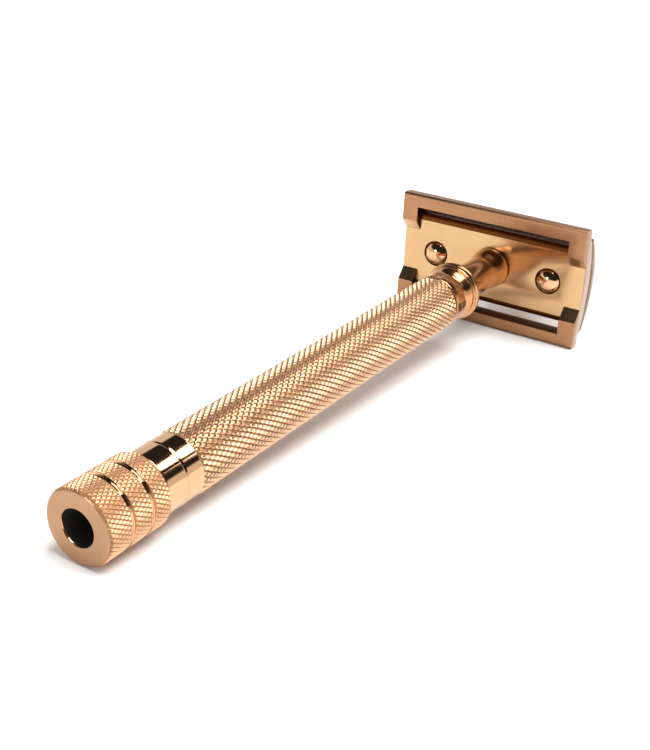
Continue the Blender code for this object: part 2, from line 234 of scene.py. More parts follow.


# %% [markdown]
# ## Finishes
#
# The pieces are plated in rose gold, and what changes from piece to piece is how the surface was
# worked before plating: polished, turned on the lathe, rubbed to a satin, or cut by the knurling
# wheels. Each finish is therefore one recipe for metal with its own fine marks, and a tint of its
# own that was chosen. The marks are noise stretched along the direction in which the tool
# moved.

# %% A small kit for metal finishes
GOLD = (0.68, 0.405, 0.225)
CREST_GOLD = (0.86, 0.51, 0.29)
WARM_GOLD = (0.72, 0.37, 0.17)
PLATE_GOLD = (0.56, 0.355, 0.178)
SATIN_GOLD = (0.38, 0.194, 0.098)
NECK_GOLD = (0.58, 0.29, 0.135)
# Painted shade: a dark, dull gold for the rolled margins in the slots.
SHADED_GOLD = (0.11, 0.035, 0.007)
FACED_GOLD = (0.42, 0.237, 0.128)
# Painted shade: a much darker copy of the gold for the cap.
SHADED_CAP_GOLD = (0.20, 0.11, 0.06)
# Painted shade: a darker copy of the gold for the plate's ends and legs.
SHADED_END_GOLD = (0.31, 0.17, 0.09)
# Painted shade: the two near-black tones inside the deep bore.
BORE_LIGHT = (0.012, 0.009, 0.007)
BORE_DARK = (0.006, 0.005, 0.004)
STEEL = (0.74, 0.70, 0.67)
MICRON = 0.000001


class Finish:
    """A material being mixed, with short names for the nodes that these metals need."""

    def __init__(self, name):
        self.material = bpy.data.materials.new(name)
        self.material.use_nodes = True
        self.tree = self.material.node_tree
        self.shader = self.tree.nodes["Principled BSDF"]
        self.shader.inputs["Metallic"].default_value = 1.0
        self.place = self.add("ShaderNodeTexCoord").outputs["Object"]

    def add(self, kind, **settings):
        node = self.tree.nodes.new(kind)
        for key, value in settings.items():
            setattr(node, key, value)
        return node

    def feed(self, socket, source):
        if isinstance(source, bpy.types.NodeSocket):
            self.tree.links.new(source, socket)
        else:
            socket.default_value = source

    def maths(self, operation, first, second=0.0):
        node = self.add("ShaderNodeMath", operation=operation)
        self.feed(node.inputs[0], first)
        self.feed(node.inputs[1], second)
        return node.outputs[0]

    def noise(self, scale, stretch=(1, 1, 1), detail=3.0, place=None):
        mapping = self.add("ShaderNodeMapping")
        self.feed(mapping.inputs["Vector"], place or self.place)
        mapping.inputs["Scale"].default_value = stretch
        node = self.add("ShaderNodeTexNoise")
        node.inputs["Scale"].default_value = scale
        node.inputs["Detail"].default_value = detail
        self.feed(node.inputs["Vector"], mapping.outputs["Vector"])
        return node.outputs["Fac"]

    def between(self, value, low, high, new_low, new_high):
        node = self.add("ShaderNodeMapRange")
        for socket, number in zip(node.inputs[:5], (value, low, high, new_low, new_high)):
            self.feed(socket, number)
        return node.outputs["Result"]

    def blend(self, amount, first, second):
        node = self.add("ShaderNodeMix", data_type="RGBA")
        self.feed(node.inputs["Factor"], amount)
        self.feed(node.inputs["A"], (*first, 1.0) if isinstance(first, tuple) else first)
        self.feed(node.inputs["B"], (*second, 1.0) if isinstance(second, tuple) else second)
        return node.outputs["Result"]

    def distance_from_axis(self):
        parts = self.add("ShaderNodeSeparateXYZ")
        self.feed(parts.inputs[0], self.place)
        squares = [self.maths("MULTIPLY", parts.outputs[i], parts.outputs[i]) for i in (1, 2)]
        return self.maths("SQRT", self.maths("ADD", *squares))

    def marks(self, height, depth):
        node = self.add("ShaderNodeBump")
        node.inputs["Strength"].default_value = 1.0
        node.inputs["Distance"].default_value = depth
        self.feed(node.inputs["Height"], height)
        self.feed(self.shader.inputs["Normal"], node.outputs["Normal"])

    def finish(self, colour, roughness):
        self.feed(self.shader.inputs["Base Color"], colour)
        self.feed(self.shader.inputs["Roughness"], roughness)
        return self.material


def darker(colour, amount):
    """The same hue with less light."""
    return tuple(channel * amount for channel in colour)


# %% [markdown]
# ### Mirror polish
#
# The smooth band, the grooves of the knob, the post and the studs are buffed to a mirror. A real
# mirror is never perfect: buffing leaves hair-fine lines round the piece and handling leaves a
# faint haze. Both are small changes of roughness, so the reflections stay sharp. The plate and
# the neck have a softer polish. The last finish is a dark, dull gold for the rolled margins
# beside the slots, where it stands in for the shade.

# %% Mix the polished golds


def polished_gold(name, tint, low_rough=0.045, high_rough=0.095):
    """Buffed plating with a faint haze and hair-fine lines round the axis."""
    mix = Finish(name)
    haze = mix.noise(260.0)
    hairs = mix.noise(900.0, (14.0, 1.0, 1.0), 4.0)
    colour = mix.blend(mix.between(haze, 0.3, 0.7, 0.0, 1.0), tint, darker(tint, 0.955))
    rough = mix.between(mix.maths("ADD", haze, hairs), 0.7, 1.3, low_rough, high_rough)
    mix.marks(hairs, 1.2 * MICRON)
    return mix.finish(colour, rough)


polished = polished_gold("polished_rose_gold", GOLD)
mirror_plate = polished_gold("mirror_plate_gold", PLATE_GOLD, 0.18, 0.25)
neck_gold = polished_gold("polished_neck_gold", NECK_GOLD, 0.13, 0.18)
slot_gold = polished_gold("shaded_slot_gold", SHADED_GOLD, 0.32, 0.42)

# %% [markdown]
# ### Knurled gold
#
# The grooves of a knurl look darker than its crests, because they lie in shade and gather dirt,
# while hands rub the points of the diamonds bright. The grooves have a darker colour here as
# well, which stands in for part of that shade. How far a point is from the handle's axis says
# whether it is a groove or a crest, so that distance blends the two colours.

# %% Mix the knurled golds
WORN_SHARE = 0.3


def knurled_gold(name, crest_radius, depth, groove, groove_rough, crest_rough):
    """Bright crests and darker, duller grooves, with an uneven plated skin."""
    mix = Finish(name)
    bottom, worn_from = crest_radius - depth, crest_radius - WORN_SHARE * depth
    height = mix.between(mix.distance_from_axis(), bottom, worn_from, 0.0, 1.0)
    patches = mix.noise(420.0)
    crest_wear_and_groove_shade = mix.maths("ADD", height, mix.between(patches, 0.2, 0.8, -0.12, 0.12))
    # The grooves' darker colour is partly painted shade, and the brighter crests are wear.
    colour = mix.blend(crest_wear_and_groove_shade, darker(WARM_GOLD, groove), CREST_GOLD)
    grains = mix.noise(5200.0, detail=2.0)
    grainy = mix.maths("ADD", crest_wear_and_groove_shade, mix.between(grains, 0.3, 0.7, -0.15, 0.15))
    rough = mix.between(grainy, 0, 1, groove_rough, crest_rough)
    mix.marks(grains, 4 * MICRON)
    return mix.finish(colour, rough)


GRIP_KNURL_DEPTH = 0.24 * MM
KNOB_KNURL_DEPTH = 0.18 * MM
grip_radius = (tube_high.y - tube_low.y) / 2
knob_radius = (knob_high.y - knob_low.y) / 2
grip_gold = knurled_gold("knurled_grip_gold", grip_radius, GRIP_KNURL_DEPTH, 0.30, 0.55, 0.27)
knob_gold = knurled_gold("knurled_knob_gold", knob_radius, KNOB_KNURL_DEPTH, 0.60, 0.55, 0.38)

# %% [markdown]
# ### Turned and satin gold
#
# The knob's end ring was faced on the lathe, so its marks are circles round the hole: noise over
# the distance from the axis gives them. The bars and the cap were rubbed lengthwise to a soft
# satin, so their marks are noise that hardly changes along Y.

# %% Mix the turned and satin golds


def turned_gold(name, tint):
    """A faced end with fine concentric tool marks."""
    mix = Finish(name)
    circle = mix.add("ShaderNodeCombineXYZ")
    mix.feed(circle.inputs[0], mix.distance_from_axis())
    rings = mix.noise(9000.0, place=circle.outputs[0], detail=4.0)
    haze = mix.noise(300.0)
    colour = mix.blend(mix.between(haze, 0.3, 0.7, 0.0, 1.0), tint, darker(tint, 0.93))
    rough = mix.between(rings, 0.3, 0.7, 0.24, 0.36)
    mix.marks(rings, 3 * MICRON)
    return mix.finish(colour, rough)


def satin_gold(name, tint, low_rough, high_rough):
    """Soft lengthwise brushing."""
    mix = Finish(name)
    brushing = mix.noise(2600.0, (1.0, 0.03, 1.0), 4.0)
    clouds = mix.noise(180.0)
    colour = mix.blend(mix.between(clouds, 0.3, 0.7, 0.0, 1.0), tint, darker(tint, 0.9))
    rough = mix.between(mix.maths("ADD", brushing, clouds), 0.7, 1.3, low_rough, high_rough)
    mix.marks(brushing, 4 * MICRON)
    return mix.finish(colour, rough)


def near_black_bore_metal(name):
    """The unplated inside of a bore: painted near black as shade, dull and blotchy."""
    mix = Finish(name)
    stains = mix.noise(500.0)
    colour = mix.blend(mix.between(stains, 0.35, 0.65, 0.0, 1.0), BORE_LIGHT, BORE_DARK)
    mix.shader.inputs["Metallic"].default_value = 0.0
    mix.marks(stains, 20 * MICRON)
    return mix.finish(colour, mix.between(stains, 0.3, 0.7, 0.55, 0.8))


faced = turned_gold("faced_rose_gold", FACED_GOLD)
bore_shade = near_black_bore_metal("painted_shade_bore")
satin = satin_gold("satin_rose_gold", SATIN_GOLD, 0.30, 0.42)
# The cap's dark tint is painted shade.
satin_cap = satin_gold("satin_shaded_cap_gold", SHADED_CAP_GOLD, 0.12, 0.18)
satin_end = satin_gold("satin_shaded_end_gold", SHADED_END_GOLD, 0.18, 0.26)

# %% [markdown]
# ### Blade steel
#
# The blade is thin rolled steel. Its grey is nearly neutral, and that is what makes it stand out
# between the gold pieces. It is ground along its length, so its marks run the same way.

# %% Mix the steel


def ground_steel(name):
    """Grey steel with fine lengthwise grinding."""
    mix = Finish(name)
    grinding = mix.noise(4200.0, (1.0, 0.02, 1.0), 4.0)
    clouds = mix.noise(240.0)
    colour = mix.blend(mix.between(clouds, 0.3, 0.7, 0.0, 1.0), STEEL, darker(STEEL, 0.9))
    rough = mix.between(grinding, 0.3, 0.7, 0.36, 0.50)
    mix.marks(grinding, 2 * MICRON)
    return mix.finish(colour, rough)


steel = ground_steel("ground_blade_steel")
print("finishes:", [material.name for material in bpy.data.materials])

# %% [markdown]
# ## The end knob
#
# The knob is a short barrel, bored right through, with a rounded rim. Three knurled bands grip
# the fingers, and two narrow polished grooves part them. It is one body with four finishes, so
# each face takes its finish from where it lies: the end ring is faced, the grooves are polished,
# the bands are knurled, and the bore is painted near black as shade.

# %% Make the end knob
KNOB_GROOVES = ((4.36 * MM, 5.16 * MM), (8.40 * MM, 9.22 * MM))
KNOB_GROOVE_DEPTH = 0.42 * MM
KNOB_RIM = 0.62 * MM
GROOVE_WALL = 0.12 * MM
KNOB_KNURL = (50, 1.235 * MM, KNOB_KNURL_DEPTH)
BORE_RADIUS = 2.78 * MM
SEAT_RADIUS = 4.0 * MM
SEAT_STATION = 8.9 * MM
CHAMFER = 0.25 * MM
TOUCH = 0.02 * MM


def rim_radius(station):
    """The knob's outer radius, which rounds off towards its end face."""
    drop = max(0.0, KNOB_RIM - station)
    return knob_radius - KNOB_RIM + math.sqrt(KNOB_RIM**2 - drop**2)


def knob_rings():
    """The knob's rings: rim, bands and grooves outside, then the seat and the bore inside."""
    length = knob_high.x
    floor = knob_radius - KNOB_GROOVE_DEPTH
    knurl_middle = knob_radius - KNOB_KNURL_DEPTH / 2
    start = 0.16 * MM
    edge = rim_radius(start) - KNOB_KNURL_DEPTH / 2
    rim = [(BORE_RADIUS, 0.3 * MM, 0), (BORE_RADIUS + 0.15 * MM, 0, 0.1 * MM)]
    rim += [(edge - 0.2 * MM, 0, 0.15 * MM), (edge, start, 0)]
    rings = plain_rings(rim, 6)[:-1]
    for low, high in KNOB_GROOVES:
        band, columns = knurl(start, low, rim_radius, *KNOB_KNURL)
        rings += band
        wall = [(knurl_middle, low, 0), (floor, low + GROOVE_WALL, 0.1 * MM)]
        wall += [(floor, high - GROOVE_WALL, 0.1 * MM), (knurl_middle, high, 0)]
        rings += plain_rings(wall, 3)[1:-1]
        start = high
    band, columns = knurl(start, length - CHAMFER, knob_radius, *KNOB_KNURL)
    rings += band
    back = [(knurl_middle, length - CHAMFER, 0), (knob_radius - 0.45 * MM, length, 0.1 * MM)]
    back += [(SEAT_RADIUS, length, 0), (SEAT_RADIUS, SEAT_STATION, 0)]
    back += [(BORE_RADIUS, SEAT_STATION, 0)]
    rings += plain_rings(back, 3)[1:]
    return rings, columns


def paint(obj, materials, choose):
    """Give each face one of the materials, chosen from where its middle lies."""
    for material in materials:
        obj.data.materials.append(material)
    for face in obj.data.polygons:
        middle = face.center
        face.material_index = choose(middle, math.hypot(middle.y, middle.z))


def knob_finish(middle, radius):
    """0 knurled, 1 polished, 2 faced, 3 bore."""
    if radius < BORE_RADIUS + TOUCH:
        return 3
    if middle.x < 0.15 * MM:
        return 2
    in_groove = any(low < middle.x < high for low, high in KNOB_GROOVES)
    return 1 if in_groove or middle.x > knob_high.x - CHAMFER or radius < SEAT_RADIUS else 0


rings, columns = knob_rings()
end_knob = skin("knob_barrel", rings, columns, looped=True)
paint(end_knob, (knob_gold, polished, faced, bore_shade), knob_finish)
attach(end_knob, "handle")
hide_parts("end_knob")
print("knob:", len(end_knob.data.polygons), "faces")

# %% [markdown]
# ## The grip and its smooth band
#
# The grip is one long bar. Next to the knob it keeps a smooth polished band with a single
# engraved line round it, and beyond that the knurl runs all the way to the collar. The grooves
# wind slowly: there are 34 of them each way round the bar, and a diamond is 1.7 times as long as
# it is wide.

# %% Make the grip
BAND_START = 12.74 * MM
BAND_END = 20.4 * MM
BAND_LINE = 16.9 * MM
BAND_LINE_WIDTH = 0.22 * MM
BORE_FLOOR = 30 * MM
GRIP_KNURL = (34, 1.68 * MM, GRIP_KNURL_DEPTH)
TUBE_SEAT = 3.7 * MM
SOCKET_RADIUS = 3.3 * MM
SOCKET_DEPTH = 5.8 * MM


def grip_rings():
    """The bar's rings: from the bottom of its bore, round the outside, to the ferrule's socket."""
    band_radius = grip_radius - 0.01 * MM
    line = BAND_LINE_WIDTH
    inner = [(BORE_RADIUS, BORE_FLOOR, 0), (BORE_RADIUS, tube_low.x, 0)]
    inner += [(TUBE_SEAT, tube_low.x, 0)]
    inner += [(TUBE_SEAT, BAND_START, 0), (band_radius, BAND_START, 0.12 * MM)]
    inner += [(band_radius, BAND_LINE - line, 0), (band_radius - 0.1 * MM, BAND_LINE, 0)]
    inner += [(band_radius, BAND_LINE + line, 0)]
    inner += [(band_radius, BAND_END - 0.1 * MM, 0.08 * MM), (grip_radius - 0.2 * MM, BAND_END, 0)]
    rings = plain_rings(inner)
    top = tube_high.x
    cut, columns = knurl(BAND_END + 0.1 * MM, top - 0.15 * MM, grip_radius, *GRIP_KNURL)
    rings += cut
    end = [(grip_radius - 0.12 * MM, top - 0.15 * MM, 0), (grip_radius - 0.3 * MM, top, 0)]
    end += [(SOCKET_RADIUS, top, 0), (SOCKET_RADIUS, top - SOCKET_DEPTH, 0)]
    rings += plain_rings(end)[1:]
    return rings, columns


rings, columns = grip_rings()
grip = skin("knurled_grip", rings, columns)


def grip_finish(middle, radius):
    """0 knurled, 1 polished, 2 bore."""
    if radius < BORE_RADIUS + TOUCH:
        return 2
    return 1 if middle.x < BAND_END else 0


paint(grip, (grip_gold, polished, bore_shade), grip_finish)
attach(grip, "handle")
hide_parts("handle_tube")
print("grip:", len(grip.data.polygons), "faces")

# %% [markdown]
# ## Collar and neck
#
# The collar starts at the grip's width, draws in to a waist and flares out to an edge with two
# rounded ridges. A slim neck leads on to the head and spreads into a small foot where it presses
# on the plate. Polished metal shows every kink, so its curves must be smooth: the flare is
# computed with a cosine, which starts and ends level and leaves no kink in the reflections.

# %% Make the collar and neck
WAIST_RADIUS = 4.85 * MM
WAIST_STATION = 103.6 * MM
COLLAR_STATION = 107.9 * MM
COLLAR_RIDGES = ((0.25 * MM, -1.5 * MM, -0.85 * MM), (0.0, -0.6 * MM, 0.15 * MM))
NECK_RADIUS = 3.55 * MM
FOOT_RADIUS = 4.2 * MM
POST_BORE = 2.7 * MM
SPIGOT_RADIUS = 3.0 * MM
SEAM = 0.3 * MM
RIDGE_STEP = 0.22 * MM
FLARE_LENGTH = 5.0 * MM


def sweep(start, end, count):
    """Points along half a cosine, level at both of its (radius, station) ends."""
    points = []
    for index in range(1, count):
        t = index / count
        blend = 0.5 - 0.5 * math.cos(math.pi * t)
        radius = start[0] + (end[0] - start[0]) * blend
        points.append((radius, start[1] + (end[1] - start[1]) * t, 0))
    return points


def collar_rings():
    """The ferrule's rings from its spigot, over collar and neck, to the bottom of its bore."""
    collar_radius = (ferrule_high.y - ferrule_low.y) / 2
    start = tube_high.x + SEAM
    shoulder = (grip_radius - 0.06 * MM, start + 0.8 * MM)
    waist = (WAIST_RADIUS, WAIST_STATION)
    lip = (collar_radius - 0.42 * MM, COLLAR_STATION - 1.75 * MM)
    corners = [(SPIGOT_RADIUS, ferrule_low.x, 0), (SPIGOT_RADIUS, start, 0)]
    corners += [(shoulder[0], start, 0.15 * MM)]
    corners += [(*shoulder, 0)] + sweep(shoulder, waist, 8) + [(*waist, 0)] + sweep(waist, lip, 6)
    for outer, first, last in COLLAR_RIDGES:
        radius = collar_radius - outer
        first, last = COLLAR_STATION + first, COLLAR_STATION + last
        corners += [(radius - RIDGE_STEP, first - 0.04 * MM, 0.04 * MM)]
        corners += [(radius, first + 0.06 * MM, 0.2 * MM), (radius, last - 0.06 * MM, 0.2 * MM)]
        corners += [(radius - RIDGE_STEP, last + 0.04 * MM, 0.04 * MM)]
    corners += [(collar_radius - 0.3 * MM, COLLAR_STATION + 0.35 * MM, 0.1 * MM)]
    corners += [(NECK_RADIUS + 0.1 * MM, COLLAR_STATION + 1.3 * MM, 0.4 * MM)]
    neck_end = ferrule_high.x - FLARE_LENGTH
    corners += [(NECK_RADIUS, COLLAR_STATION + 2.6 * MM, 0), (NECK_RADIUS, neck_end, 0)]
    corners += sweep((NECK_RADIUS, neck_end), (FOOT_RADIUS, ferrule_high.x - 0.2 * MM), 12)
    corners += [(FOOT_RADIUS, ferrule_high.x - 0.1 * MM, 0)]
    corners += [(FOOT_RADIUS - 0.1 * MM, ferrule_high.x, 0)]
    corners += [(POST_BORE, ferrule_high.x, 0), (POST_BORE, post_low.x - 1.0 * MM, 0)]
    return plain_rings(corners)


collar = skin("collar_and_neck", collar_rings(), FINE_ROUND_STEPS)
collar.data.materials.append(neck_gold)
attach(collar, "handle")
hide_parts("neck_ferrule")
print("collar:", len(collar.data.polygons), "faces")

# %% [markdown]
# ## Post and studs
#
# The cap carries a threaded post, which the neck screws onto, and two studs that keep blade and
# plate in line. A thread is a radius that rises and falls once per turn while it moves along the
# axis, so it needs only one more sum in the ring code. The studs end in polished domes below the
# plate.

# %% Make the post and the studs
THREAD_PITCH = 0.8 * MM
THREAD_DEPTH = 0.42 * MM
RINGS_PER_TURN = 10
DOME_HEIGHT = 1.4 * MM
DOME_STEPS = 14
STUD_CHAMFER = 0.2 * MM
THREAD_STOP = 1.2 * MM
CREST_WIDTH = 1.25
FLANK_SLOPE = 2.9


def thread_rings(columns):
    """The post's rings: a chamfered tip, the helical thread, and a plain root under the cap."""
    radius = (post_high.y - post_low.y) / 2
    root = radius - THREAD_DEPTH
    thread_end = post_high.x - THREAD_STOP
    rings = [(post_low.x, root * 0.8, 0), (post_low.x + 0.25 * MM, root, 0)]
    station = post_low.x + 0.35 * MM
    round_the_bar = np.arange(columns) / columns
    while station < thread_end:
        phase = (station / THREAD_PITCH - round_the_bar) % 1.0
        rise = np.clip(CREST_WIDTH - np.abs(phase - 0.5) * FLANK_SLOPE, 0.0, 1.0)
        from_ends = min(station - post_low.x, thread_end - station)
        taper = min(1.0, from_ends / THREAD_PITCH)
        rings.append((station, root + THREAD_DEPTH * rise * taper, 0))
        station += THREAD_PITCH / RINGS_PER_TURN
    rings += [(thread_end + 0.05 * MM, root, 0), (thread_end + 0.4 * MM, radius, 0)]
    return rings + [(post_high.x, radius, 0)]


post = skin("threaded_centre_post", thread_rings(ROUND_STEPS), ROUND_STEPS)
post.data.materials.append(polished)
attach(post, "cap")
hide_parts("threaded_post")


def stud_rings(low, high):
    """A stud's rings: a dome that is part of a ball, and a straight shank."""
    radius = (high.y - low.y) / 2
    ball = (radius**2 + DOME_HEIGHT**2) / (2 * DOME_HEIGHT)
    reach = math.asin(radius / ball)
    rings = []
    for index in range(1, DOME_STEPS + 1):
        angle = reach * index / DOME_STEPS
        rings.append((low.x + ball * (1 - math.cos(angle)), ball * math.sin(angle), 0))
    return rings + [(high.x - STUD_CHAMFER, radius, 0), (high.x, radius - STUD_CHAMFER, 0)]


for node in ("alignment_stud_left", "alignment_stud_right"):
    low, high = extent(node)
    stud = skin(node.replace("alignment", "domed"), stud_rings(low, high), ROUND_STEPS)
    stud.matrix_world = razor @ Matrix.Translation((0, (low.y + high.y) / 2, 0))
    stud.data.materials.append(polished)
    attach(stud, "cap")
    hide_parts(node)
print("thread turns:", round((post_high.x - post_low.x) / THREAD_PITCH))

# %% [markdown]
# ## Stamped and machined pieces of the head
#
# Plate, blade and cap have the same outline all along their length, so each starts as an outline
# that is pushed along the bars. Cutters then open the slots and holes, and a bevel rounds what a
# cutter leaves sharp. The three share one bend centre below the plate, so that the blade is
# clamped evenly.

# %% Helpers for the head
BAR_DROP = 2.0 * MM
BEND_RADIUS = 28.3 * MM
CREASE_ANGLE = math.radians(32)
BEVEL_ANGLE = math.radians(30)
CUTTER_BELOW = 5 * MM
CUTTER_ABOVE = 10 * MM
CUTTER_LENGTH = 20 * MM
plate_face = plate_low.x + BAR_DROP
bend_centre = plate_high.x - BEND_RADIUS


def bend(radius, start_width, end_width, count):
    """Points (station, width) on an arc about the shared bend centre."""
    start, end = math.asin(start_width / radius), math.asin(end_width / radius)
    angles = np.linspace(start, end, count + 1)
    return [(bend_centre + radius * math.cos(angle), radius * math.sin(angle)) for angle in angles]


def crown(edge_station, half_width, crest, count):
    """Points (station, width) over a crown, from one edge to the other."""
    rise = crest - edge_station
    radius = (half_width**2 + rise**2) / (2 * rise)
    reach = math.asin(half_width / radius)
    return [
        (crest - radius + radius * math.cos(angle), radius * math.sin(angle))
        for angle in np.linspace(reach, -reach, count + 1)
    ]


def corner(centre, radius, start, end, count=6):
    """Points round a corner, angles in degrees from the handle's direction."""
    angles = np.radians(np.linspace(start, end, count + 1))
    return [(centre[0] + radius * math.cos(a), centre[1] + radius * math.sin(a)) for a in angles]


def placed(name, shape, place):
    """Turn a mesh that is being edited into an object."""
    mesh = bpy.data.meshes.new(name)
    shape.to_mesh(mesh)
    shape.free()
    obj = bpy.data.objects.new(name, mesh)
    bpy.context.scene.collection.objects.link(obj)
    obj.matrix_world = place
    return obj


def thick(name, points, way):
    """Push a flat outline of points along a direction."""
    shape = bmesh.new()
    face = shape.faces.new([shape.verts.new(point) for point in points])
    moved = bmesh.ops.extrude_face_region(shape, geom=[face])
    new_verts = [item for item in moved["geom"] if isinstance(item, bmesh.types.BMVert)]
    bmesh.ops.translate(shape, verts=new_verts, vec=way)
    bmesh.ops.recalc_face_normals(shape, faces=shape.faces)
    return placed(name, shape, razor)


def pushed(name, outline, half_length):
    """Push an outline of (station, width) points both ways along the bars."""
    points = [(station, -half_length, width) for station, width in outline]
    return thick(name, points, (0, 2 * half_length, 0))


def round_hole(name, radius, along_bars):
    """A cutter for a round hole through the plate, parallel to the handle."""
    shape = bmesh.new()
    size = {"radius1": radius, "radius2": radius, "depth": CUTTER_LENGTH}
    bmesh.ops.create_cone(shape, cap_ends=True, segments=ROUND_STEPS, **size)
    upright = Matrix.Rotation(math.pi / 2, 4, "Y")
    return placed(name, shape, razor @ Matrix.Translation((plate_face, along_bars, 0)) @ upright)


def cut_out(obj, cutters):
    """Cut every cutter out of a piece."""
    for cutter in cutters:
        boolean = obj.modifiers.new(cutter.name, "BOOLEAN")
        boolean.operation = "DIFFERENCE"
        boolean.solver = "EXACT"
        boolean.object = cutter


def soften(obj, width, segments):
    """Round all clear edges."""
    bevel = obj.modifiers.new("softened edges", "BEVEL")
    bevel.width = width
    bevel.segments = segments
    bevel.limit_method = "ANGLE"
    bevel.angle_limit = BEVEL_ANGLE
    bevel.use_clamp_overlap = True


def settle(obj, cutters=()):
    """Keep the modelled result as the piece's own mesh, and throw the cutters away."""
    bpy.context.view_layer.update()
    shape = obj.evaluated_get(bpy.context.evaluated_depsgraph_get())
    mesh = bpy.data.meshes.new_from_object(shape)
    obj.modifiers.clear()
    obj.data = mesh
    mesh.shade_smooth()
    mesh.set_sharp_from_angle(angle=CREASE_ANGLE)
    for cutter in cutters:
        bpy.data.objects.remove(cutter, do_unlink=True)


# %% [markdown]
# ## The base plate
#
# The plate is the razor's guard. Its underside is flat, with rolled margins. At its four corners,
# legs slope out and down to two safety bars, and between bar and plate a slot lets the foam
# through. The flat is polished, the bars, legs and ends have a satin finish, and ends and legs
# take a darker gold as painted shade. The rolled margins along the slots are dark, dull painted
# shade.

# %% Make the base plate
BAR_TOP = 0.9 * MM
BAR_INNER = 10.1 * MM
LOWER_BAR_ROUNDING = 1.0 * MM
UPPER_BAR_ROUNDING = 0.5 * MM
LEG_TOE = 4.5 * MM
LEG_HEEL = 6.9 * MM
SLOT_HALF_LENGTH = 17.3 * MM
FLAT_HALF_WIDTH = 6.6 * MM
MARGIN_HALF_WIDTH = 8.3 * MM
MARGIN_RISE = 1.0 * MM
POST_HOLE = 2.7 * MM
STUD_HOLE = 2.8 * MM


def both_sides(half):
    """Complete an outline whose first half runs from below to above on the positive side."""
    return half + [(station, -width) for station, width in reversed(half)]


def plate_half(rounding):
    """Half of the plate's section at its ends, with a leg and a bar."""
    half_width = plate_high.z
    half = [(0.0, LEG_TOE), (-BAR_DROP, LEG_HEEL)]
    half += corner((rounding - BAR_DROP, half_width - rounding), rounding, 180, 90)
    half += corner((BAR_TOP - 0.7 * MM, half_width - 0.7 * MM), 0.7 * MM, 90, 0)
    half += [(BAR_TOP, BAR_INNER + 0.2 * MM)]
    half = [(plate_face + rise, width) for rise, width in half]
    return half + bend(BEND_RADIUS, BAR_INNER, 0.4 * MM, 24)


def plate_outline():
    """The whole section: the upper bar's free edge is rounded less than the lower bar's."""
    lower = plate_half(LOWER_BAR_ROUNDING)
    upper = plate_half(UPPER_BAR_ROUNDING)
    return upper + [(station, -width) for station, width in reversed(lower)]


def slots_outline():
    """The open space between the bars, round the plate's rolled margins."""
    half = [(-4.0 * MM, BAR_INNER), (6.0 * MM, BAR_INNER), (6.0 * MM, MARGIN_HALF_WIDTH)]
    for angle in np.linspace(0, math.pi / 2, 9):
        width = FLAT_HALF_WIDTH + (MARGIN_HALF_WIDTH - FLAT_HALF_WIDTH) * math.cos(angle)
        half.append((MARGIN_RISE * (1 - math.sin(angle)), width))
    return both_sides([(plate_face + rise, width) for rise, width in half])


base_plate = pushed("guard_plate", plate_outline(), plate_high.y)
stud_place = (stud_low.y + stud_high.y) / 2
cutters = [pushed("slots", slots_outline(), SLOT_HALF_LENGTH)]
cutters += [round_hole("post hole", POST_HOLE, 0)]
cutters += [round_hole("stud hole", STUD_HOLE, place) for place in (stud_place, -stud_place)]
cut_out(base_plate, cutters)
soften(base_plate, 0.18 * MM, 3)
settle(base_plate, cutters)


def plate_finish(middle, radius):
    """0 polished, 1 satin bars, 2 satin ends and legs, 3 the rolled margins along both slots; 2 and
    3 are painted shade.
    """
    # Painted shade: the ends, the legs beside the slots and the slot margins take darker golds.
    if abs(middle.y) > plate_high.y - 0.1 * MM:
        return 2
    width = abs(middle.z)
    beside_slot = abs(middle.y) > SLOT_HALF_LENGTH + 0.01 * MM
    in_slot = not beside_slot and middle.x > plate_face - 0.9 * BAR_DROP
    if in_slot and FLAT_HALF_WIDTH + 0.25 * MM < width < MARGIN_HALF_WIDTH + 0.05 * MM:
        return 3
    if beside_slot and FLAT_HALF_WIDTH < width < BAR_INNER + 0.05 * MM:
        return 2
    on_flat = middle.x > plate_face - 0.05 * MM and width < MARGIN_HALF_WIDTH + 0.1 * MM
    on_leg = abs(middle.z) < LEG_HEEL - 0.1 * MM
    return 0 if on_flat or on_leg else 1


paint(base_plate, (mirror_plate, satin, satin_end, slot_gold), plate_finish)
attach(base_plate, "guard")
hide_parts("base_plate")
print("base plate:", len(base_plate.data.polygons), "faces")

# %% [markdown]
# ## The blade
#
# A double-edge blade is a tenth of a millimetre thick. It has a long slot for post and studs and
# a notch at each corner, and both long edges are ground to a wedge. The outline is the bent
# section with wedge-shaped ends, so the ground edges catch the light as thin lines.

# %% Make the blade
BLADE_THICKNESS = 0.1 * MM
BLADE_HALF_WIDTH = 11.0 * MM
GROUND_WIDTH = 0.7 * MM
BLADE_SLOT_HALF_LENGTH = 16.5 * MM
BLADE_SLOT_HALF_WIDTH = 1.1 * MM
NOTCH_LENGTH = 2.2 * MM
NOTCH_WIDTH = 4.2 * MM
blade_radius = blade_high.x - bend_centre - BLADE_THICKNESS


def blade_outline():
    """The bent blade's section, thinning to both edges."""
    edge = blade_radius * math.sin(BLADE_HALF_WIDTH / blade_radius)
    grind = edge - GROUND_WIDTH
    middle = blade_radius + BLADE_THICKNESS / 2
    under = bend(blade_radius, grind, -grind, 40)
    over = bend(blade_radius + BLADE_THICKNESS, -grind, grind, 40)
    return under + bend(middle, -edge, -edge, 0)[:1] + over + bend(middle, edge, edge, 0)[:1]


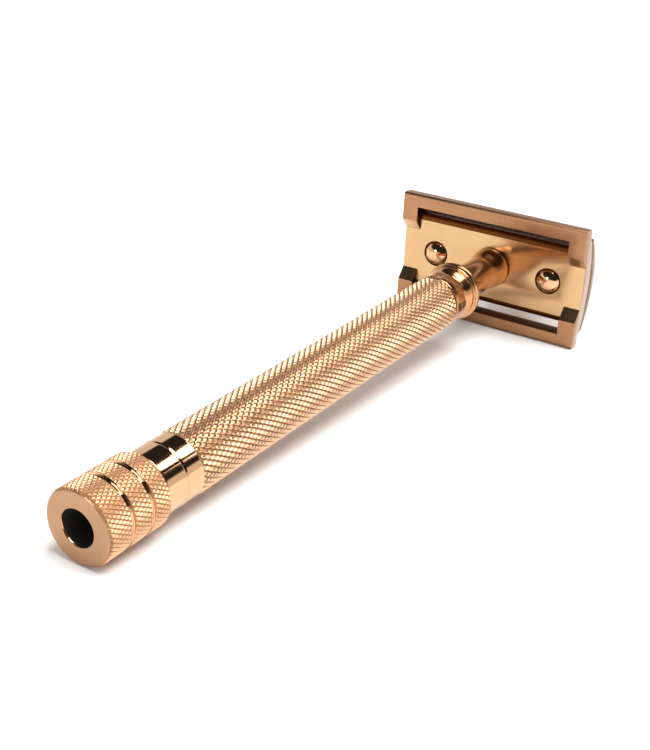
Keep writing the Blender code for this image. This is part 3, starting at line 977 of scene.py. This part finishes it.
def long_slot():
    """A cutter for the centre slot, wider round the post and the studs."""
    widths = []
    for place in np.linspace(-BLADE_SLOT_HALF_LENGTH, BLADE_SLOT_HALF_LENGTH, 133):
        width = BLADE_SLOT_HALF_WIDTH
        for hole in (-stud_place, 0.0, stud_place):
            width = max(width, math.sqrt(max(0.0, STUD_HOLE**2 - (place - hole) ** 2)))
        widths.append((place, width))
    outline = widths + [(place, -width) for place, width in reversed(widths)]
    points = [(plate_face - CUTTER_BELOW, place, width) for place, width in outline]
    return thick("blade slot", points, (CUTTER_BELOW + CUTTER_ABOVE, 0, 0))


def notch(end, side):
    """A cutter for one corner notch."""
    edge = side * BLADE_HALF_WIDTH
    corners = ((-CUTTER_BELOW, -1), (CUTTER_ABOVE, -1), (CUTTER_ABOVE, 1), (-CUTTER_BELOW, 1))
    outline = [(plate_face + rise, edge + way * NOTCH_WIDTH) for rise, way in corners]
    obj = pushed("notch", outline, NOTCH_LENGTH)
    obj.matrix_world = razor @ Matrix.Translation((0, end * blade_high.y, 0))
    return obj


blade = pushed("double_edge_blade", blade_outline(), blade_high.y)
cutters = [long_slot()] + [notch(end, side) for end in (1, -1) for side in (1, -1)]
cut_out(blade, cutters)
settle(blade, cutters)
blade.data.materials.append(steel)
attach(blade, "blade")
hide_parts("blade")
print("blade:", len(blade.data.polygons), "faces")

# %% [markdown]
# ## The cap
#
# The cap is an arched plate that bends the blade over the guard. It is hollow below, crowned
# above, and all of its edges are rounded because they glide over skin. The bevel is wide here, so
# the end faces roll softly into the crown.

# %% Make the cap
CAP_LIP = 1.0 * MM
CAP_RECESS_HALF_WIDTH = 4.5 * MM
CAP_RECESS_DEPTH = 0.5 * MM
CAP_ROUNDING = 0.5 * MM
cap_inner_radius = blade_radius + BLADE_THICKNESS + 0.2 * MM


def cap_outline():
    """The cap's section: clamping flanks and a shallow recess below, a crown above."""
    half_width = cap_high.z
    flank = bend(cap_inner_radius, half_width, CAP_RECESS_HALF_WIDTH, 10)
    crest = bend_centre + cap_inner_radius + CAP_RECESS_DEPTH
    recess = crown(flank[-1][0], CAP_RECESS_HALF_WIDTH, crest, 14)
    under = flank[:-1] + recess + [(station, -width) for station, width in reversed(flank[:-1])]
    over = crown(under[0][0] + CAP_LIP, half_width, cap_high.x, 48)
    return under + list(reversed(over))


cap = pushed("arched_cap", cap_outline(), cap_high.y)
soften(cap, CAP_ROUNDING, 5)
settle(cap)
cap.data.materials.append(satin_cap)
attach(cap, "cap")
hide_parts("top_cap")
print("cap:", len(cap.data.polygons), "faces")

# %% [markdown]
# ## Table, light and camera
#
# Polished metal shows its surroundings more than itself. The razor lies on a white table in front
# of a pale wall, and the rest of the studio is dark. Mirrors need those dark parts: without them
# the collar would be as pale as the table. A broad light in the ceiling brightens the table and
# draws the shadow. A soft box stands high behind the head with a weak second one at its edge, and
# a small lamp stands beyond the camera. The table should stay evenly white, so the light that it
# scatters comes from a white sky, and only glossy rays see the wall and the dark.

# %% Build the table
PAPER_LIGHT = (0.90, 0.90, 0.90)
PAPER_DARK = (0.88, 0.88, 0.88)
bpy.ops.mesh.primitive_plane_add(size=8.0, location=(0, 0, 0))
table = bpy.context.object
table.name = "white_table"
mix = Finish("matte_white_table")
mix.shader.inputs["Metallic"].default_value = 0.0
mix.shader.inputs["Specular IOR Level"].default_value = 0.1
paper = mix.noise(60.0)
white = mix.blend(paper, PAPER_LIGHT, PAPER_DARK)
table.data.materials.append(mix.finish(white, 0.9))

# %% Build the studio
SKY_LIGHT = 0.55
WALL_LIGHT = 1.0
DARK_ROOM = 0.03
WALL_BLUR = 0.04
WALL_SLOPE = -0.21
WALL_TURN = (-0.45, 0.05)
WALL_HEIGHTS = (0.27, 0.42)


def studio_world():
    """White light for the table, and a pale wall with a dark ceiling for the mirrors."""
    world = bpy.data.worlds.new("studio")
    bpy.context.scene.world = world
    world.use_nodes = True
    tree = world.node_tree
    tree.nodes.clear()
    output = tree.nodes.new("ShaderNodeOutputWorld")
    chooser = tree.nodes.new("ShaderNodeMixShader")
    path = tree.nodes.new("ShaderNodeLightPath")
    sky = tree.nodes.new("ShaderNodeBackground")
    room = tree.nodes.new("ShaderNodeBackground")
    place = tree.nodes.new("ShaderNodeTexCoord")
    parts = tree.nodes.new("ShaderNodeSeparateXYZ")
    slope = tree.nodes.new("ShaderNodeMath")
    height = tree.nodes.new("ShaderNodeMapRange")
    back = tree.nodes.new("ShaderNodeMapRange")
    wall = tree.nodes.new("ShaderNodeMath")
    level = tree.nodes.new("ShaderNodeMapRange")
    sky.inputs["Color"].default_value = (1.0, 1.0, 1.0, 1.0)
    sky.inputs["Strength"].default_value = SKY_LIGHT
    height.interpolation_type = "SMOOTHSTEP"
    height.inputs["From Min"].default_value = WALL_BLUR
    height.inputs["From Max"].default_value = -WALL_BLUR
    slope.operation = "MULTIPLY_ADD"
    slope.inputs[1].default_value = WALL_SLOPE
    back.interpolation_type = "SMOOTHSTEP"
    back.inputs["From Min"].default_value = WALL_TURN[0]
    back.inputs["From Max"].default_value = WALL_TURN[1]
    back.inputs["To Min"].default_value = WALL_HEIGHTS[0]
    back.inputs["To Max"].default_value = WALL_HEIGHTS[1]
    wall.operation = "SUBTRACT"
    level.inputs["To Min"].default_value = DARK_ROOM
    level.inputs["To Max"].default_value = WALL_LIGHT
    link = tree.links.new
    link(place.outputs["Generated"], parts.inputs[0])
    link(parts.outputs["Y"], slope.inputs[0])
    link(parts.outputs["Z"], slope.inputs[2])
    link(parts.outputs["X"], back.inputs["Value"])
    link(slope.outputs[0], wall.inputs[0])
    link(back.outputs["Result"], wall.inputs[1])
    link(wall.outputs[0], height.inputs["Value"])
    link(height.outputs["Result"], level.inputs["Value"])
    link(level.outputs["Result"], room.inputs["Color"])
    link(path.outputs["Is Glossy Ray"], chooser.inputs["Fac"])
    link(sky.outputs[0], chooser.inputs[1])
    link(room.outputs[0], chooser.inputs[2])
    link(chooser.outputs[0], output.inputs["Surface"])


def aim(obj, azimuth, elevation, distance):
    """Put a lamp in a direction, in degrees, and turn it to the razor."""
    a, e = math.radians(azimuth), math.radians(elevation)
    direction = Vector((math.cos(e) * math.cos(a), math.cos(e) * math.sin(a), math.sin(e)))
    obj.location = direction * distance
    obj.rotation_mode = "QUATERNION"
    obj.rotation_quaternion = direction.to_track_quat("Z", "Y")


def soft_box(name, azimuth, elevation, distance, width, height, power):
    """An area lamp that faces the razor from a direction in degrees."""
    lamp = bpy.data.lights.new(name, "AREA")
    lamp.shape = "RECTANGLE"
    lamp.size = width
    lamp.size_y = height
    lamp.energy = power
    obj = bpy.data.objects.new(name, lamp)
    bpy.context.scene.collection.objects.link(obj)
    aim(obj, azimuth, elevation, distance)


def wide_light(name, azimuth, elevation, spread, strength):
    """An even light from one side of the ceiling; its spread in degrees softens the shadows."""
    lamp = bpy.data.lights.new(name, "SUN")
    lamp.angle = math.radians(spread)
    lamp.energy = strength
    obj = bpy.data.objects.new(name, lamp)
    bpy.context.scene.collection.objects.link(obj)
    aim(obj, azimuth, elevation, 1.0)


studio_world()
wide_light("ceiling_light", azimuth=-75, elevation=74, spread=42, strength=3.7)
for name, azimuth, elevation, distance, width, height, power in (
    ("overhead_box", -18, 47, 0.6, 0.32, 0.14, 0.8),
    ("edge_of_box", -39, 33, 0.6, 0.10, 0.08, 0.05),
    ("small_lamp", 171, 21, 0.8, 0.20, 0.20, 1.0),
):
    soft_box(name, azimuth, elevation, distance, width, height, power)

# %% Set the camera
CAMERA_PLACE = Vector((-165.26, -94.99, 87.04)) * MM
CAMERA_TARGET = Vector((-6.83, -0.87, 9.31)) * MM
CAMERA_ROLL = math.radians(4.60)
CAMERA_LENS = 56.94
CLIP_START = 0.005
camera_data = bpy.data.cameras.new("camera")
camera_data.lens = CAMERA_LENS
camera_data.clip_start = CLIP_START
camera = bpy.data.objects.new("camera", camera_data)
bpy.context.scene.collection.objects.link(camera)
camera.location = CAMERA_PLACE
look = (CAMERA_TARGET - CAMERA_PLACE).to_track_quat("-Z", "Y")
camera.rotation_mode = "QUATERNION"
camera.rotation_quaternion = look @ Matrix.Rotation(CAMERA_ROLL, 3, "Z").to_quaternion()
bpy.context.scene.camera = camera
bpy.context.scene.view_settings.view_transform = "Standard"
